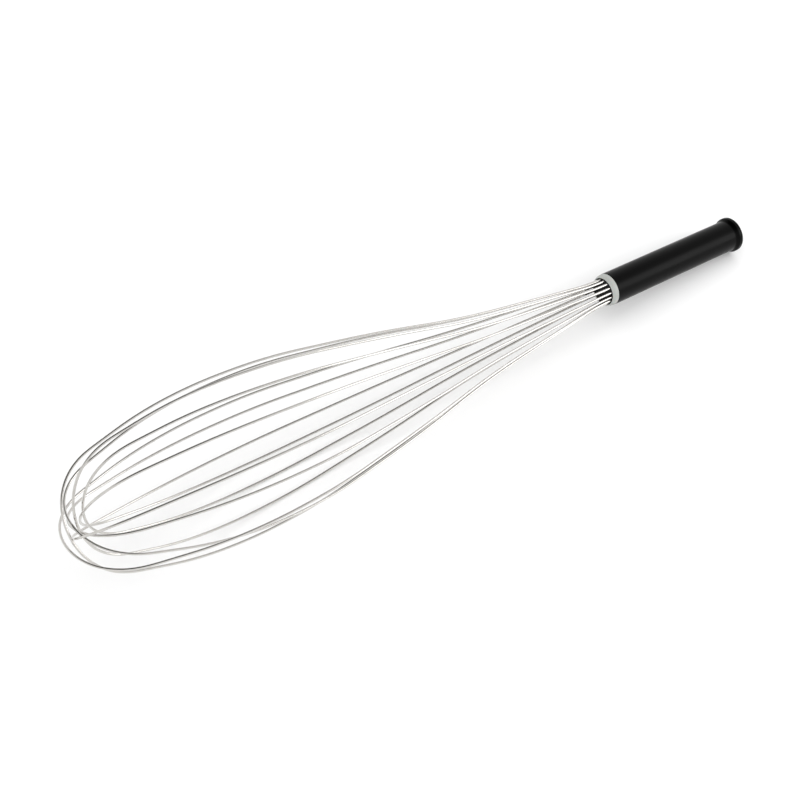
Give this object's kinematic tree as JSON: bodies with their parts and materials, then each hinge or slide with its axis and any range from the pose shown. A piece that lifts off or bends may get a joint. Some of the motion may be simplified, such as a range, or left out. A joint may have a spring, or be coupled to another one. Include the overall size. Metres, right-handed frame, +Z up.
{
  "type": "balloon whisk",
  "caption": "Large balloon whisk with sprung round wire loops, a smooth flared tube handle and a light grey collar, lying on its side.",
  "frame": {"origin": "centre of the whisk's bounding box on the table it lies on", "axes": "+X from the loops toward the handle's butt, seen from above; +Z up"},
  "size_m": [0.6662, 0.1309, 0.1389],
  "materials": {
    "wire_steel": "drawn stainless spring wire, bright polished",
    "handle_plastic": "satin moulded black plastic",
    "cap_plastic": "fine-grained moulded black plastic",
    "collar_plastic": "smooth moulded light grey plastic",
    "potting": "cast dark potting, slightly glossy",
    "core_plastic": "unpigmented moulded plastic",
    "band_steel": "rolled steel strip",
    "seal_rubber": "soft black rubber"
  },
  "bodies": {
    "root": {"handle_grip": "handle_plastic", "end_cap": "cap_plastic", "cap_seal": "seal_rubber", "front_collar": "collar_plastic", "mouth_seal": "potting", "wire_core": "core_plastic", "front_band": "band_steel", "rear_band": "band_steel", "wire_loop_1_first_leg": "wire_steel", "wire_loop_1_bow": "wire_steel", "wire_loop_1_second_leg": "wire_steel", "wire_loop_2_first_leg": "wire_steel", "wire_loop_2_bow": "wire_steel", "wire_loop_2_second_leg": "wire_steel", "wire_loop_3_first_leg": "wire_steel", "wire_loop_3_bow": "wire_steel", "wire_loop_3_second_leg": "wire_steel", "wire_loop_4_first_leg": "wire_steel", "wire_loop_4_bow": "wire_steel", "wire_loop_4_second_leg": "wire_steel", "wire_loop_5_first_leg": "wire_steel", "wire_loop_5_bow": "wire_steel", "wire_loop_5_second_leg": "wire_steel", "wire_loop_6_first_leg": "wire_steel", "wire_loop_6_bow": "wire_steel", "wire_loop_6_second_leg": "wire_steel", "wire_loop_7_first_leg": "wire_steel", "wire_loop_7_bow": "wire_steel", "wire_loop_7_second_leg": "wire_steel", "wire_loop_8_first_leg": "wire_steel", "wire_loop_8_bow": "wire_steel", "wire_loop_8_second_leg": "wire_steel"}
  },
  "joints": []
}
